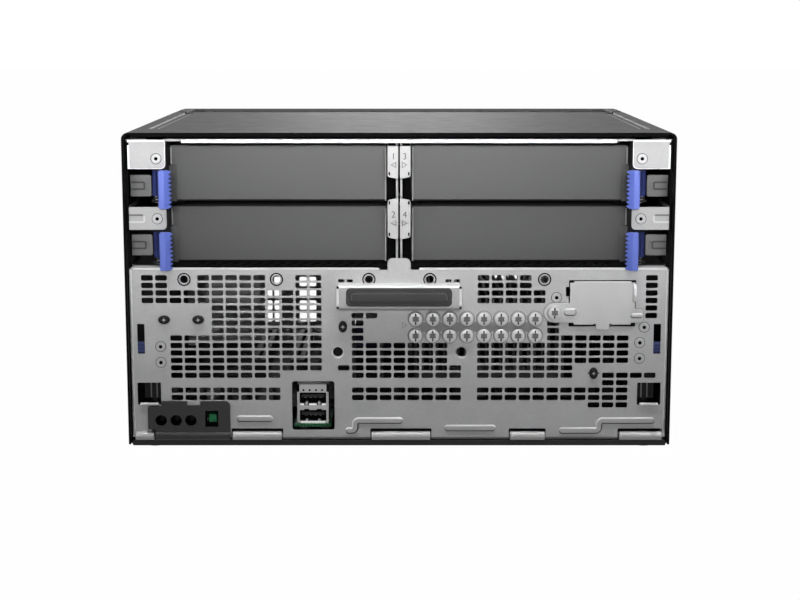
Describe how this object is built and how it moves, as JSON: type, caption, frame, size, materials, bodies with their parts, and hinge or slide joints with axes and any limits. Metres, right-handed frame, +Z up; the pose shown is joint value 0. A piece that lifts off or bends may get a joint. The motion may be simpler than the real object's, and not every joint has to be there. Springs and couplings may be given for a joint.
{
  "type": "compact tower server",
  "caption": "Low, wide tower server without its front bezel: black sleeve over a perforated steel chassis with latched drive bays, status lamps, data ports and rear fan.",
  "frame": {"origin": "centre of the overall box, at the underside of the feet", "axes": "+X to the viewer's right across the front, +Y from front to rear, +Z up"},
  "size_m": [0.254, 0.227, 0.1488],
  "materials": {
    "cover_paint": "satin black powder coat",
    "base_paint": "satin black paint",
    "sheet_steel": "satin zinc-coated sheet",
    "inner_steel": "dark zinc-coated sheet",
    "screw_steel": "bright zinc",
    "rivet_steel": "satin",
    "dark_screw": "black oxide",
    "foot_rubber": "matt",
    "blank_plastic": "fine moulded grain",
    "black_plastic": "moulded",
    "latch_blue": "semi-gloss moulded",
    "slider_blue": "moulded",
    "grip_plastic": "soft-touch grain",
    "status_plastic": "fine moulded grain",
    "button_green": "semi-gloss moulded",
    "lamp_clear": "clear",
    "board_green": "solder mask",
    "board_dark": "dark solder mask",
    "shell_steel": "tin plate",
    "display_blue": "moulded",
    "cooler_aluminium": "bare extruded",
    "cable_grey": "flexible jacket"
  },
  "bodies": {
    "chassis": {"base_tray": "base_paint", "rubber_feet": "foot_rubber", "latch_pins": "screw_steel", "latch_springs": "screw_steel", "rivets": "rivet_steel", "panel_screws": "dark_screw", "drive_screws": "screw_steel", "fan_screws": "screw_steel", "board_standoffs": "screw_steel", "handle_grip": "grip_plastic", "bay_rails": "blank_plastic", "status_housing": "status_plastic", "light_pipes": "lamp_clear", "switch_board": "board_dark", "usb_shells": "shell_steel", "usb_tongues": "black_plastic", "front_usb_board": "board_green", "system_board": "board_dark", "processor": "shell_steel", "heatsink": "cooler_aluminium", "board_sockets": "black_plastic", "memory_modules": "board_dark", "clock_battery": "shell_steel", "drive_backplane": "board_dark", "drive_sockets": "black_plastic", "drive_cables": "cable_grey", "fan_frame": "black_plastic", "network_jacks": "shell_steel", "display_socket": "display_blue", "power_inlet": "black_plastic", "chassis_left_wall": "sheet_steel", "chassis_right_wall": "sheet_steel", "cage_left_divider": "sheet_steel", "cage_right_divider": "sheet_steel", "cage_top": "sheet_steel", "front_panel": "sheet_steel", "handle_bracket": "sheet_steel", "hatch_cover": "sheet_steel", "rear_panel": "sheet_steel", "slot_covers": "sheet_steel", "port_plate": "sheet_steel", "cage_left_wall": "inner_steel", "cage_right_wall": "inner_steel", "cage_floor": "inner_steel"},
    "cover": {"outer_cover": "cover_paint", "thumb_screws": "black_plastic"},
    "button": {"power_button": "button_green"},
    "release_left": {"release_slider_left": "slider_blue", "lock_bar_left": "inner_steel"},
    "release_right": {"release_slider_right": "slider_blue", "lock_bar_right": "inner_steel"},
    "fan": {"fan_rotor": "black_plastic"},
    "blank_1": {"drive_blank_1": "blank_plastic"},
    "latch_1": {"drive_latch_1": "latch_blue"},
    "blank_2": {"drive_blank_2": "blank_plastic"},
    "latch_2": {"drive_latch_2": "latch_blue"},
    "blank_3": {"drive_blank_3": "blank_plastic"},
    "latch_3": {"drive_latch_3": "latch_blue"},
    "blank_4": {"drive_blank_4": "blank_plastic"},
    "latch_4": {"drive_latch_4": "latch_blue"}
  },
  "joints": [
    {"name": "cover_slide", "type": "slide", "parent": "chassis", "child": "cover", "axis": [0, 1, 0], "range_m": [0, 0.23]},
    {"name": "blank_1_slide", "type": "slide", "parent": "chassis", "child": "blank_1", "axis": [0, -1, 0], "range_m": [0, 0.15]},
    {"name": "blank_2_slide", "type": "slide", "parent": "chassis", "child": "blank_2", "axis": [0, -1, 0], "range_m": [0, 0.15]},
    {"name": "blank_3_slide", "type": "slide", "parent": "chassis", "child": "blank_3", "axis": [0, -1, 0], "range_m": [0, 0.15]},
    {"name": "blank_4_slide", "type": "slide", "parent": "chassis", "child": "blank_4", "axis": [0, -1, 0], "range_m": [0, 0.15]},
    {"name": "latch_1_hinge", "type": "hinge", "parent": "chassis", "child": "latch_1", "pos_m": [-0.1123, -0.0975, 0.1248], "axis": [0, 0, -1], "range_deg": [0, 25], "stiffness_Nm_per_rad": 0.02},
    {"name": "latch_2_hinge", "type": "hinge", "parent": "chassis", "child": "latch_2", "pos_m": [-0.1123, -0.0975, 0.0962], "axis": [0, 0, -1], "range_deg": [0, 25], "stiffness_Nm_per_rad": 0.02},
    {"name": "latch_3_hinge", "type": "hinge", "parent": "chassis", "child": "latch_3", "pos_m": [0.1123, -0.0975, 0.1248], "axis": [0, 0, 1], "range_deg": [0, 25], "stiffness_Nm_per_rad": 0.02},
    {"name": "latch_4_hinge", "type": "hinge", "parent": "chassis", "child": "latch_4", "pos_m": [0.1123, -0.0975, 0.0962], "axis": [0, 0, 1], "range_deg": [0, 25], "stiffness_Nm_per_rad": 0.02},
    {"name": "button_press", "type": "slide", "parent": "chassis", "child": "button", "axis": [0, 1, 0], "range_m": [0, 0.0006], "stiffness_N_per_m": 800},
    {"name": "release_left_slide", "type": "slide", "parent": "chassis", "child": "release_left", "axis": [0, 0, 1], "range_m": [0, 0.0075]},
    {"name": "release_right_slide", "type": "slide", "parent": "chassis", "child": "release_right", "axis": [0, 0, 1], "range_m": [0, 0.0075]},
    {"name": "fan_spin", "type": "hinge", "parent": "chassis", "child": "fan", "pos_m": [0.062, 0.0915, 0.092], "axis": [0, 1, 0], "continuous": true}
  ]
}
